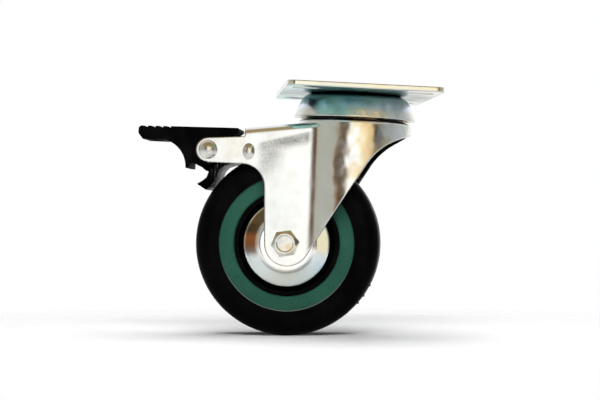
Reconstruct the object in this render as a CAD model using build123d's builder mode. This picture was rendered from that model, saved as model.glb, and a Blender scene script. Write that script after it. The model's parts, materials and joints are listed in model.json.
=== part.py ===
"""Swivel castor with a pressed steel fork, a double ball race and a foot-operated wheel brake.

Frame: +Z up, origin at the centre of the mounting plate's top face, on the swivel axis.
The plate's short side runs along X and its long side along Y.
The fork, the wheel and the brake are drawn in the fork's own frame, which has the same
origin and +Z, and stands turned about the swivel axis by rest_swivel. In the fork's frame
the wheel trails towards -x, the axle lies along y and z is the height below the plate.
"Near" is the bolt head's side, at -y, and "far" the nut's side.
"""

import os
from math import acos, atan2, cos, degrees, floor, hypot, pi, radians, sin, sqrt, tan

from build123d import *

# ---------------------------------------------------------------- driving dimensions (mm)

# whole castor
wheel_d = 75.0
trail = 24.7
rest_swivel = -7.6

# fits
press_gap = 0.02
running_gap = 0.06
seat_gap = 0.3

# mounting plate
plate_width = 61.5
plate_length = 92.0
plate_sheet = 2.0
plate_corner_r = 3.5
slot_width = 8.5
slot_length = 11.0
slot_edge_x = 8.25
slot_edge_y = 13.0

# swivel bearing
swivel_ball_d = 5.0
upper_pitch_r = 17.7
ball_crowding = 1.12
groove_depth = 0.5
lower_race_sheet = 2.0
lower_race_lip = 1.6
kingpin_r = 5.0
kingpin_head_r = 8.0
kingpin_neck_r = 6.2
kingpin_foot_r = 7.6
kingpin_foot_height = 2.4
kingpin_foot_round = 1.9
kingpin_recess = 0.15

# upper race cup, the flared skirt under the plate
cup_margin = 1.1
cup_flare = 3.6
cup_depth = 9.9
cup_sheet = 1.5
cup_shoulder_r = 5.5

# fork, pressed from one sheet
fork_sheet = 2.0
rim_gap = 1.0
tyre_headroom = 11.6
tyre_side_gap = 1.2
hood_ledge = 2.1
hood_shoulder_r = 1.6
hood_inside_r = 0.2
hood_blend_r = 12.0
crown_step = 2.2
crown_hole_gap = 2.0
hat_margin = 1.0
hat_draft = 1.6
arm_bend_r = 3.0
leg_end_r = 9.2
leg_end_offset = 0.5
leg_lean = 2.7
gusset_angle = 59.0
gusset_knee_r = 26.0
hood_rear_height = 4.6
hood_rear_angle = 27.0
arm_root_r = 9.2
arm_top_slope = 4.2
web_front = 18.6
web_rise = 8.6
web_slope = 7.4

# brake pivot and shoe pin; forward is measured from the axle
pivot_forward = 33.25
pivot_drop = 0.85
arm_end_r = 4.9
arm_under = 5.1
pivot_shank_r = 2.5
pivot_head_r = 3.9
pivot_head_height = 2.3
shoe_pin_forward = 16.65
shoe_pin_r = 1.8
shoe_pin_head_width = 4.9
shoe_pin_head_height = 6.7
shoe_pin_head_drop = 0.9
shoe_pin_head_depth = 1.1
shoe_pin_head_edge = 0.6

# axle
bolt_r = 3.0
bolt_head_flats = 10.0
hex_face_share = 0.8
bolt_head_height = 4.0
bolt_head_turn = 10.0
nut_height = 6.0
nut_collar_height = 1.9
nut_collar_r = 4.7
nut_ring_height = 1.5
nut_ring_r = 4.1
bolt_tail = 1.6
bolt_tip_chamfer = 0.5
bolt_hole_gap = 0.2
sleeve_r = 4.0
bush_wall = 2.0

# wheel
tyre_width = 32.0
tyre_shoulder_r = 6.0
tyre_side_taper = 0.8
tyre_key_depth = 2.8
tyre_key_width = 14.0
rim_r = 27.55
rim_inset = 1.8
rim_wall = 6.05
rim_edge_r = 1.2
hub_inset = 1.7
hub_wall = 1.8
hub_web = 9.0
hub_boss_rise = 0.8
hub_shoulder = 1.6

# dust cover
cover_r = 17.65
cover_sheet = 0.8
cover_bend_r = 0.9
cover_edge_inset = 1.6
cover_shoulder_inset = 0.4
cover_shoulder_r = 12.3
cover_boss_r = 11.0
cover_leg_gap = 0.5
cover_hole_gap = 0.4
cover_skirt = 4.0

# wheel bearings
bearing_r = 11.0
bearing_width = 7.0
bearing_sink = 0.1
bearing_ball_d = 4.0
bearing_pitch_r = 7.5
bearing_land = 1.4
bearing_balls = 7
cage_wall = 1.4
cage_width = 5.4

# brake pedal, measured from its pivot
pedal_width = 22.0
pedal_reach = 30.4
pedal_tail = 11.4
pedal_top = 9.45
pedal_top_slope = 0.95
pedal_corner_r = 3.0
pedal_tip_height = 6.2
pedal_tip_r = 1.8
pedal_tail_height = 8.3
pedal_tail_slant = 3.4
pedal_tail_under = 5.6
pedal_tail_r = 0.8
pedal_heel_run = 2.4
pedal_heel_end = 18.5
pedal_heel_height = 3.5
pedal_hub_r = 5.6
pedal_side_gap = 0.3
pedal_scoop_r = 11.4
pedal_skirt_front = 9.9
pedal_skirt_back = 8.5
pedal_skirt_drop = 7.6
pedal_notch = 3.0
pedal_cam_r = 8.8
pedal_lobe_r = 4.8
pedal_lobe_front = 2.85
pedal_lobe_back = 0.6
pedal_lobe_rise = 1.6
pedal_wall = 2.0
ridge_count = 4
ridge_pitch = 3.15
ridge_groove = 1.6
ridge_depth = 0.55
ridge_start = 3.5

# brake shoe, a pressed channel of spring steel
shoe_sheet = 1.5
shoe_width = 27.0
shoe_eye_r = 2.9
shoe_eye_gap = 0.5
shoe_foot_angle = 59.2
shoe_foot_reach = 6.5
# the sole beside the tyre and the cheeks' outer edge: degrees ahead of the axle's top, gap off the tread
shoe_sole = [(28.5, 2.2), (35.0, 1.65), (42.2, 3.3), (45.2, 3.15), (50.4, 1.8), (56.4, 1.35)]
shoe_edge = [(56.1, 5.4), (53.3, 4.9), (49.9, 5.8), (41.7, 5.85), (36.7, 6.9), (24.1, 6.5)]

# ---------------------------------------------------------------- derived places

fork_frame = Plane(
    origin=(0, 0, 0),
    x_dir=(cos(radians(rest_swivel)), sin(radians(rest_swivel)), 0),
    z_dir=(0, 0, 1),
)
fork_middle = Plane(origin=(0, 0, 0), x_dir=fork_frame.x_dir, z_dir=fork_frame.y_dir)
fork_across = Axis((0, 0, 0), fork_frame.y_dir)

# swivel bearing, from the plate down
cup_top_z = -plate_sheet
cup_inside_z = cup_top_z - cup_sheet
cup_rim_z = cup_top_z - cup_depth
ball_r = swivel_ball_d / 2
upper_ball_z = cup_inside_z - running_gap - ball_r
hat_top_z = upper_ball_z - ball_r - running_gap + groove_depth
hat_inside_z = hat_top_z - fork_sheet
lower_ball_z = hat_inside_z + groove_depth - running_gap - ball_r
lower_race_z = lower_ball_z - ball_r - running_gap + groove_depth
crown_hole_r = kingpin_r + crown_hole_gap
lower_pitch_r = crown_hole_r + ball_r + lower_race_sheet
hat_base_r = upper_pitch_r + ball_r + hat_margin
cup_top_r = upper_pitch_r + ball_r + cup_margin
cup_rim_r = cup_top_r + cup_flare

# fork and wheel
crown_z = cup_rim_z - rim_gap
crown_inside_z = crown_z - fork_sheet
web_plane_z = crown_z - crown_step
hood_r = hat_base_r + hood_ledge
tyre_r = wheel_d / 2
axle_x = -trail
axle_z = crown_inside_z - tyre_headroom - tyre_r
leg_inner = tyre_width / 2 + tyre_side_gap
leg_outer = leg_inner + fork_sheet
fork_width = 2 * leg_outer
rim_width = tyre_width - 2 * rim_inset
hub_width = rim_width - 2 * hub_inset
hub_boss_width = hub_width + 2 * hub_boss_rise
cover_edge_y = tyre_width / 2 - cover_edge_inset
cover_shoulder_y = tyre_width / 2 - cover_shoulder_inset
cover_boss_y = leg_inner - cover_leg_gap

# brake pins
shoe_pin_clear = shoe_eye_r + shoe_eye_gap
shoe_pin_height = sqrt((tyre_r + shoe_pin_clear) ** 2 - shoe_pin_forward**2)
shoe_pin_x = axle_x - shoe_pin_forward
shoe_pin_z = axle_z + shoe_pin_height
pivot_x = axle_x - pivot_forward
pivot_z = shoe_pin_z - pivot_drop


def on_fork(x, y, z):
    """A point given in the fork's frame."""
    return fork_frame.from_local_coords(Vector(x, y, z))


def fork_level(z):
    """A level plane at height z, with the fork's x and y."""
    return fork_frame.offset(z)


def fork_side(y, x=0.0, z=0.0):
    """An upright plane across the axle at y, with its origin at x, z; it extrudes towards -y."""
    return Plane(origin=on_fork(x, y, z), x_dir=fork_frame.x_dir, z_dir=-fork_frame.y_dir)


def fork_section(x, z):
    """An upright plane through x, z that holds the fork's y as its first direction."""
    return Plane(origin=on_fork(x, 0, z), x_dir=fork_frame.y_dir, z_dir=fork_frame.x_dir)


def fork_axis(x, z):
    """A line across the fork through x, z."""
    return Axis(on_fork(x, 0, z), fork_frame.y_dir)


def off_tyre(angle, gap):
    """A place in the fork's side view, at an angle ahead of the axle's top and a gap off the tread."""
    reach = tyre_r + gap
    return (axle_x - reach * sin(radians(angle)), axle_z + reach * cos(radians(angle)))


wheel_axis = fork_axis(axle_x, axle_z)
wheel_section = fork_section(axle_x, axle_z)

os.makedirs("parts", exist_ok=True)


def save(builder, name):
    """Label a finished piece and write it as its own STEP file."""
    builder.part.label = name
    export_step(builder.part, f"parts/{name}.step")


def save_pair(near, name):
    """Write a piece of the near side, and its mirror image on the far side."""
    with BuildPart() as far:
        mirror(near.part, about=fork_middle)
    save(near, f"{name}_near")
    save(far, f"{name}_far")


# ---------------------------------------------------------------- plate and swivel bearing

with BuildPart() as mounting_plate:
    with BuildSketch(Plane.XY.offset(-plate_sheet)):
        RectangleRounded(plate_width, plate_length, plate_corner_r)
        with GridLocations(plate_width - 2 * slot_edge_x, plate_length - 2 * slot_edge_y, 2, 2):
            SlotOverall(slot_length, slot_width, mode=Mode.SUBTRACT)
    extrude(amount=plate_sheet)
    with BuildSketch(Plane.XZ):
        with BuildLine():
            Polyline(
                (0, 0),
                (kingpin_head_r + press_gap, 0),
                (kingpin_neck_r + press_gap, -plate_sheet),
                (0, -plate_sheet),
                close=True,
            )
        make_face()
    revolve(axis=Axis.Z, mode=Mode.SUBTRACT)
save(mounting_plate, "mounting_plate")

with BuildPart() as upper_race_cup:
    with BuildSketch(Plane.XZ):
        with BuildLine():
            Polyline(
                (0, cup_top_z),
                (cup_top_r, cup_top_z),
                (cup_rim_r, cup_rim_z),
                (0, cup_rim_z),
                close=True,
            )
        make_face()
    revolve(axis=Axis.Z)
    fillet(upper_race_cup.edges().group_by(Axis.Z)[-1], cup_shoulder_r)
    offset(amount=-cup_sheet, openings=upper_race_cup.faces().sort_by(Axis.Z)[0])
    with BuildSketch(Plane.XY.offset(cup_top_z)):
        Circle(kingpin_r + press_gap)
    extrude(amount=-cup_sheet, mode=Mode.SUBTRACT)
save(upper_race_cup, "upper_race_cup")


def full_ring(pitch_r, diameter):
    """How many balls of a diameter go round a pitch circle."""
    return floor(2 * pi * pitch_r / (diameter * ball_crowding))


with BuildPart(Plane.XY.offset(upper_ball_z)) as upper_swivel_balls:
    with PolarLocations(upper_pitch_r, full_ring(upper_pitch_r, swivel_ball_d)):
        Sphere(ball_r)
save(upper_swivel_balls, "upper_swivel_balls")

with BuildPart(Plane.XY.offset(lower_ball_z)) as lower_swivel_balls:
    with PolarLocations(lower_pitch_r, full_ring(lower_pitch_r, swivel_ball_d)):
        Sphere(ball_r)
save(lower_swivel_balls, "lower_swivel_balls")

lower_race_lip_r = lower_pitch_r + ball_r + 2 * running_gap
with BuildPart() as lower_race_cup:
    with BuildSketch(Plane.XZ):
        with BuildLine():
            Polyline(
                (kingpin_r + press_gap, lower_race_z),
                (lower_race_lip_r, lower_race_z),
                (lower_race_lip_r, lower_race_z + lower_race_lip),
                (lower_race_lip_r + lower_race_sheet, lower_race_z + lower_race_lip),
                (lower_race_lip_r + lower_race_sheet, lower_race_z - lower_race_sheet),
                (kingpin_r + press_gap, lower_race_z - lower_race_sheet),
                close=True,
            )
        make_face()
        with Locations((lower_pitch_r, lower_ball_z)):
            Circle(ball_r + running_gap, mode=Mode.SUBTRACT)
    revolve(axis=Axis.Z)
    lower_rim = lower_race_cup.edges().group_by(Axis.Z)[0].sort_by(SortBy.RADIUS)[-1]
    fillet(lower_rim, lower_race_sheet / 2)
save(lower_race_cup, "lower_race_cup")

kingpin_foot_z = lower_race_z - lower_race_sheet
with BuildPart() as kingpin:
    with BuildSketch(Plane.XZ):
        with BuildLine():
            Polyline(
                (0, -kingpin_recess),
                (kingpin_head_r - kingpin_recess, -kingpin_recess),
                (kingpin_neck_r, -plate_sheet),
                (kingpin_r, -plate_sheet),
                (kingpin_r, kingpin_foot_z),
                (kingpin_foot_r, kingpin_foot_z),
                (kingpin_foot_r, kingpin_foot_z - kingpin_foot_height),
                (0, kingpin_foot_z - kingpin_foot_height),
                close=True,
            )
        make_face()
    revolve(axis=Axis.Z)
    fillet(kingpin.edges().group_by(Axis.Z)[0], kingpin_foot_round)
save(kingpin, "kingpin")

# ---------------------------------------------------------------- fork

fork_floor_z = axle_z - leg_end_r - fork_sheet
fork_front_x = pivot_x - arm_end_r - fork_sheet
fork_rear_x = hood_r + fork_sheet
hat_top_r = hat_base_r - hat_draft
hat_slope = hat_draft / (hat_top_z - crown_z)
hat_wall = fork_sheet * sqrt(1 + hat_slope**2)
hat_inset = hat_wall - hat_slope * fork_sheet
web_front_x = axle_x - web_front
web_front_z = shoe_pin_z + web_rise
web_plane = Plane(
    origin=on_fork(web_front_x, 0, web_front_z),
    x_dir=on_fork(cos(radians(web_slope)), 0, sin(radians(web_slope))),
    z_dir=on_fork(-sin(radians(web_slope)), 0, cos(radians(web_slope))),
)


def fork_block(inset, bend_r, shoulder_r):
    """The solid that the fork's sheet wraps, drawn in by inset: hood, legs and arms in one.

    Seen from above it is the band of the legs and arms joined to the round hood by
    hollow blends. Its top is the web's sloping plane, level with the foot of the crown at the
    back, and the crown stands on it as a low round step.
    """
    round_r = hood_r - inset
    half = leg_outer - inset
    crossing_x = -sqrt(round_r**2 - half**2)
    with BuildPart() as crown:
        with BuildSketch(fork_level(crown_z - inset)):
            Circle(round_r)
        extrude(amount=-(crown_step + 2 * bend_r))
        fillet(crown.edges().sort_by(Axis.Z)[-1], shoulder_r)
    with BuildPart() as block:
        with BuildSketch(fork_level(fork_floor_z)) as plan:
            Circle(round_r)
            with Locations((fork_front_x / 2, 0)):
                Rectangle(-fork_front_x, 2 * half)
            corners = [v for v in plan.vertices() if v.X < 0]
            corners = sorted(corners, key=lambda v: abs(v.X - crossing_x))[:2]
            fillet(corners, hood_blend_r + inset)
        extrude(amount=-fork_floor_z)
        split(bisect_by=web_plane.offset(-inset), keep=Keep.BOTTOM)
        top_face = block.faces().sort_by(Axis(web_plane.origin, web_plane.z_dir))[-1]
        top_rim = top_face.outer_wire().edges()
        fillet([e for e in top_rim if fork_frame.to_local_coords(e @ 0.5).X > fork_front_x + fork_sheet], bend_r)
        split(bisect_by=fork_level(web_plane_z - inset), keep=Keep.BOTTOM)
        add(crown.part)
    return block


fork_outside = fork_block(0, arm_bend_r, hood_shoulder_r)
fork_inside = fork_block(fork_sheet, arm_bend_r - fork_sheet, hood_inside_r)

# side view of the fork, from the axle's end of the leg round to the arm and the hood
leg_foot = (axle_x + leg_end_offset, axle_z)
lean = radians(leg_lean)
leg_left_foot = (leg_foot[0] - leg_end_r * cos(lean), leg_foot[1] - leg_end_r * sin(lean))
arm_under_z = pivot_z - arm_under
arm_root = (leg_left_foot[0] - tan(lean) * (arm_under_z - leg_left_foot[1]), arm_under_z)
slope = radians(arm_top_slope)
arm_tip_low = (pivot_x, arm_under_z)
arm_tip_top = (pivot_x - arm_end_r * sin(slope), pivot_z + arm_end_r * cos(slope))
arm_top_root = (web_front_x, arm_tip_top[1] + tan(slope) * (web_front_x - arm_tip_top[0]))
gusset = radians(gusset_angle)
gusset_foot = (leg_foot[0] + leg_end_r * sin(gusset), leg_foot[1] - leg_end_r * cos(gusset))
rear = radians(hood_rear_angle)
hood_rear_z = crown_z - hood_rear_height
# where the gusset's line meets the hood's rear edge
rear_rise = hood_rear_z - tan(rear) * hood_r - gusset_foot[1] + tan(gusset) * gusset_foot[0]
knee_x = rear_rise / (tan(gusset) - tan(rear))
knee = (knee_x, gusset_foot[1] + tan(gusset) * (knee_x - gusset_foot[0]))
hood_rear = (fork_rear_x, hood_rear_z + tan(rear) * (fork_rear_x - hood_r))

with BuildPart() as fork:
    add(fork_outside.part)
    add(fork_inside.part, mode=Mode.SUBTRACT)
    with BuildSketch(fork_side(0)) as side_view:
        with BuildLine():
            Polyline(
                leg_left_foot,
                arm_root,
                arm_tip_low,
                arm_tip_top,
                arm_top_root,
                (web_front_x, 0),
                (fork_rear_x, 0),
                hood_rear,
                knee,
                gusset_foot,
                leg_foot,
                close=True,
            )
        make_face()
        with Locations(leg_foot):
            Circle(leg_end_r)
        with Locations((pivot_x, pivot_z)):
            Circle(arm_end_r)
        fillet(side_view.vertices().sort_by_distance(arm_root)[0], arm_root_r)
        fillet(side_view.vertices().sort_by_distance(knee)[0], gusset_knee_r)
    extrude(amount=fork_width, both=True, mode=Mode.INTERSECT)
    # the raised hat that carries both rings of balls
    with BuildSketch(Plane.XY.offset(crown_inside_z)):
        Circle(hat_base_r - hat_inset)
    extrude(amount=fork_sheet, mode=Mode.SUBTRACT)
    with BuildSketch(Plane.XZ):
        with BuildLine():
            Polyline(
                (crown_hole_r, hat_top_z),
                (hat_top_r, hat_top_z),
                (hat_base_r, crown_z),
                (hat_base_r, crown_inside_z),
                (hat_base_r - hat_inset, crown_inside_z),
                (hat_top_r - hat_inset, hat_inside_z),
                (crown_hole_r, hat_inside_z),
                close=True,
            )
        make_face()
        with Locations((upper_pitch_r, upper_ball_z), (lower_pitch_r, lower_ball_z)):
            Circle(ball_r + running_gap, mode=Mode.SUBTRACT)
    revolve(axis=Axis.Z)
    # holes through both legs and both arms
    with BuildSketch(fork_side(0)):
        with Locations((axle_x, axle_z)):
            Circle(bolt_r + bolt_hole_gap)
        with Locations((pivot_x, pivot_z)):
            Circle(pivot_shank_r + press_gap)
        with Locations((shoe_pin_x, shoe_pin_z)):
            Circle(shoe_pin_r + press_gap)
    extrude(amount=fork_width, both=True, mode=Mode.SUBTRACT)
save(fork, "fork")

# ---------------------------------------------------------------- axle

hex_corner_r = bolt_head_flats / sqrt(3)
hex_face_r = bolt_head_flats / 2 * hex_face_share
hex_bevel = (hex_corner_r - hex_face_r) * tan(radians(30))


def hex_envelope(inner, outer):
    """The turned outline that takes the corners off a hexagon, along the axle from inner to outer."""
    step = 1 if outer > inner else -1
    with BuildSketch(wheel_section) as outline:
        with BuildLine():
            Polyline(
                (inner, 0),
                (inner, hex_corner_r),
                (outer - step * hex_bevel, hex_corner_r),
                (outer, hex_face_r),
                (outer, 0),
                close=True,
            )
        make_face()
    return revolve(outline.sketch, axis=wheel_axis, mode=Mode.PRIVATE)


head_envelope = hex_envelope(-leg_outer, -leg_outer - bolt_head_height)
with BuildPart() as axle_bolt:
    with BuildSketch(fork_side(-leg_outer, axle_x, axle_z)):
        RegularPolygon(bolt_head_flats / 2, 6, major_radius=False, rotation=bolt_head_turn)
    extrude(amount=bolt_head_height)
    add(head_envelope, mode=Mode.INTERSECT)
    with BuildSketch(fork_side(-leg_outer, axle_x, axle_z)):
        Circle(bolt_r)
    extrude(amount=-(fork_width + nut_height + bolt_tail))
    chamfer(axle_bolt.edges().sort_by(fork_across)[-1], bolt_tip_chamfer)
save(axle_bolt, "axle_bolt")

nut_hex_height = nut_height - nut_collar_height
nut_envelope = hex_envelope(leg_outer, leg_outer + nut_hex_height)
with BuildPart() as lock_nut:
    with BuildSketch(fork_side(leg_outer, axle_x, axle_z)):
        RegularPolygon(bolt_head_flats / 2, 6, major_radius=False, rotation=bolt_head_turn)
    extrude(amount=-nut_hex_height)
    add(nut_envelope, mode=Mode.INTERSECT)
    with BuildSketch(fork_side(leg_outer + nut_hex_height, axle_x, axle_z)):
        Circle(nut_collar_r)
    extrude(amount=-nut_collar_height)
    with BuildSketch(fork_side(leg_outer, axle_x, axle_z)):
        Circle(bolt_r + press_gap)
    extrude(amount=-nut_height, mode=Mode.SUBTRACT)
    with BuildSketch(fork_side(leg_outer + nut_height, axle_x, axle_z)):
        Circle(nut_ring_r)
    extrude(amount=nut_ring_height, mode=Mode.SUBTRACT)
save(lock_nut, "lock_nut")

with BuildPart() as nut_nylon_ring:
    with BuildSketch(fork_side(leg_outer + nut_height, axle_x, axle_z)):
        Circle(nut_ring_r - press_gap)
        Circle(bolt_r + press_gap, mode=Mode.SUBTRACT)
    extrude(amount=nut_ring_height)
save(nut_nylon_ring, "nut_nylon_ring")

with BuildPart() as axle_sleeve:
    with BuildSketch(fork_side(0, axle_x, axle_z)):
        Circle(sleeve_r)
        Circle(bolt_r + bolt_hole_gap, mode=Mode.SUBTRACT)
    extrude(amount=leg_inner, both=True)
save(axle_sleeve, "axle_sleeve")

# ---------------------------------------------------------------- wheel bearings, near side first

bearing_outer_y = hub_boss_width / 2 - bearing_sink
bearing_inner_y = bearing_outer_y - bearing_width
bearing_y = (bearing_outer_y + bearing_inner_y) / 2
sleeve_seat_r = sleeve_r + press_gap
inner_land_r = bearing_pitch_r - bearing_land
outer_land_r = bearing_pitch_r + bearing_land
bearing_ball_r = bearing_ball_d / 2
bearing_plane = fork_side(-bearing_y, axle_x, axle_z)


def race_ring(inner_r, outer_r):
    """A race of the near bearing between two radii, with its ball groove."""
    with BuildPart() as ring:
        with BuildSketch(wheel_section):
            with Locations((-bearing_y, (inner_r + outer_r) / 2)):
                Rectangle(bearing_width, outer_r - inner_r)
            with Locations((-bearing_y, bearing_pitch_r)):
                Circle(bearing_ball_r + running_gap, mode=Mode.SUBTRACT)
        revolve(axis=wheel_axis)
    return ring


save_pair(race_ring(sleeve_seat_r, inner_land_r), "inner_race")
save_pair(race_ring(outer_land_r, bearing_r), "outer_race")

with BuildPart(bearing_plane) as bearing_ball_set:
    with PolarLocations(bearing_pitch_r, bearing_balls):
        Sphere(bearing_ball_r)
save_pair(bearing_ball_set, "bearing_balls")

with BuildPart(bearing_plane) as bearing_cage:
    Cylinder(bearing_pitch_r + cage_wall / 2, cage_width)
    Cylinder(bearing_pitch_r - cage_wall / 2, cage_width, mode=Mode.SUBTRACT)
    with PolarLocations(bearing_pitch_r, bearing_balls):
        Cylinder(
            bearing_ball_r + running_gap,
            2 * bearing_ball_r,
            rotation=(0, 90, 0),
            mode=Mode.SUBTRACT,
        )
save_pair(bearing_cage, "bearing_cage")

bush_r = sleeve_r + bush_wall
with BuildPart() as spacer_bush:
    with BuildSketch(fork_side(-bearing_outer_y, axle_x, axle_z)):
        Circle(bush_r)
        Circle(sleeve_seat_r, mode=Mode.SUBTRACT)
    extrude(amount=leg_inner - bearing_outer_y)
save_pair(spacer_bush, "spacer_bush")

# ---------------------------------------------------------------- wheel, revolved half sections

hub_r = rim_r - rim_wall
boss_r = cover_r - cover_sheet - press_gap


def wheel_part(near_half):
    """Turn a wheel piece from the near half of its section: points of (along the axle, radius)."""
    far_half = [(-y, r) for y, r in reversed(near_half)]
    with BuildPart() as piece:
        with BuildSketch(wheel_section):
            with BuildLine():
                Polyline(*near_half, *far_half, close=True)
            make_face()
        revolve(axis=wheel_axis)
    return piece


wheel_hub = wheel_part(
    [
        (-bearing_inner_y, bearing_r - hub_shoulder),
        (-bearing_inner_y, bearing_r + press_gap),
        (-hub_boss_width / 2, bearing_r + press_gap),
        (-hub_boss_width / 2, boss_r),
        (-hub_web / 2, boss_r),
        (-hub_web / 2, hub_r - hub_wall),
        (-hub_width / 2, hub_r - hub_wall),
        (-hub_width / 2, hub_r - press_gap),
    ]
)
save(wheel_hub, "wheel_hub")

with BuildPart() as wheel_rim:
    with BuildSketch(wheel_section):
        with Locations((0, (hub_r + rim_r) / 2)):
            Rectangle(rim_width, rim_r - hub_r)
        with Locations((0, rim_r - tyre_key_depth / 2)):
            Rectangle(tyre_key_width, tyre_key_depth, mode=Mode.SUBTRACT)
    revolve(axis=wheel_axis)
    rim_edges = wheel_rim.edges().filter_by(GeomType.CIRCLE).sort_by(fork_across)
    side_edges = rim_edges.group_by(fork_across)[0] + rim_edges.group_by(fork_across)[-1]
    fillet([e for e in side_edges if e.radius < rim_r - tyre_key_depth], rim_edge_r)
save(wheel_rim, "wheel_rim")

tyre_edge_y = tyre_width / 2 - tyre_side_taper
tyre_seat_r = rim_r + press_gap
with BuildPart() as tyre:
    with BuildSketch(wheel_section) as tyre_profile:
        with BuildLine():
            Polyline(
                (-tyre_edge_y, tyre_seat_r),
                (-tyre_width / 2, tyre_r),
                (tyre_width / 2, tyre_r),
                (tyre_edge_y, tyre_seat_r),
                close=True,
            )
        make_face()
        fillet(tyre_profile.vertices().group_by(Axis.Y)[-1], tyre_shoulder_r)
        with Locations((0, tyre_seat_r - tyre_key_depth / 2 + press_gap)):
            Rectangle(tyre_key_width - 2 * press_gap, tyre_key_depth)
    revolve(axis=wheel_axis)
save(tyre, "tyre")

# zinc cover: outer edge, cone, shoulder, raised boss and centre hole
cover_hole_r = bush_r + cover_hole_gap
with BuildPart() as dust_cover:
    with BuildSketch(wheel_section):
        with BuildLine():
            FilletPolyline(
                (-cover_edge_y + cover_skirt, cover_r),
                (-cover_edge_y, cover_r),
                (-cover_shoulder_y, cover_shoulder_r),
                (-cover_boss_y, cover_boss_r),
                (-cover_boss_y, cover_hole_r),
                radius=cover_bend_r,
            )
            offset(amount=cover_sheet, side=Side.LEFT)
        make_face()
    revolve(axis=wheel_axis)
save_pair(dust_cover, "dust_cover")

# ---------------------------------------------------------------- brake pins

with BuildPart() as pedal_pivot_rivet:
    with BuildSketch(fork_section(pivot_x, pivot_z)):
        with BuildLine() as half:
            TangentArc(
                (-leg_outer - pivot_head_height, 0),
                (-leg_outer, pivot_head_r),
                tangent=(0, 1),
            )
            Polyline((-leg_outer, pivot_head_r), (-leg_outer, pivot_shank_r), (0, pivot_shank_r))
            mirror(half.line, about=Plane.YZ)
            Line((-leg_outer - pivot_head_height, 0), (leg_outer + pivot_head_height, 0))
        make_face()
    revolve(axis=fork_axis(pivot_x, pivot_z))
save(pedal_pivot_rivet, "pedal_pivot_rivet")

with BuildPart() as shoe_pin:
    with BuildSketch(fork_side(0, shoe_pin_x, shoe_pin_z)):
        Circle(shoe_pin_r)
    extrude(amount=leg_outer, both=True)
    for side in (-1, 1):
        with BuildSketch(fork_side(side * leg_outer, shoe_pin_x, shoe_pin_z)):
            with Locations((0, -shoe_pin_head_drop)):
                Ellipse(shoe_pin_head_width / 2, shoe_pin_head_height / 2)
        extrude(amount=-side * shoe_pin_head_depth)
    pin_edges = shoe_pin.edges().sort_by(fork_across)
    fillet([pin_edges[0], pin_edges[-1]], shoe_pin_head_edge)
save(shoe_pin, "shoe_pin")

# ---------------------------------------------------------------- brake pedal

pedal_plane = fork_side(0, pivot_x, pivot_z)
pedal_hub_width = 2 * (leg_inner - pedal_side_gap)


def pad_top(x):
    """Height of the pad's top over the pivot."""
    return pedal_top + tan(radians(pedal_top_slope)) * x


pocket_front = -pedal_reach + pedal_heel_run + pedal_wall
pocket_back = -pedal_heel_end - pedal_wall
pocket_width = (pedal_width - 3 * pedal_wall) / 2
pocket_ceiling = pad_top(-pedal_reach) - ridge_depth - pedal_wall
pad_core = pedal_top - pedal_wall
ridge_places = [-pedal_reach + ridge_start + ridge_pitch * i for i in range(ridge_count)]
skirt_foot = (-pedal_skirt_front, -pedal_skirt_drop)
notch_top = (-pedal_skirt_back, -pedal_skirt_drop + pedal_notch)
lobe_start = (-pedal_lobe_front, -pedal_cam_r + pedal_lobe_rise)
lobe_corner = (pedal_lobe_back, -pedal_cam_r)
# the cam's flank leaves the lobe's corner and touches the hub
flank = atan2(lobe_corner[1], lobe_corner[0]) + acos(pedal_hub_r / hypot(*lobe_corner))
flank_touch = (pedal_hub_r * cos(flank), pedal_hub_r * sin(flank))

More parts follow.
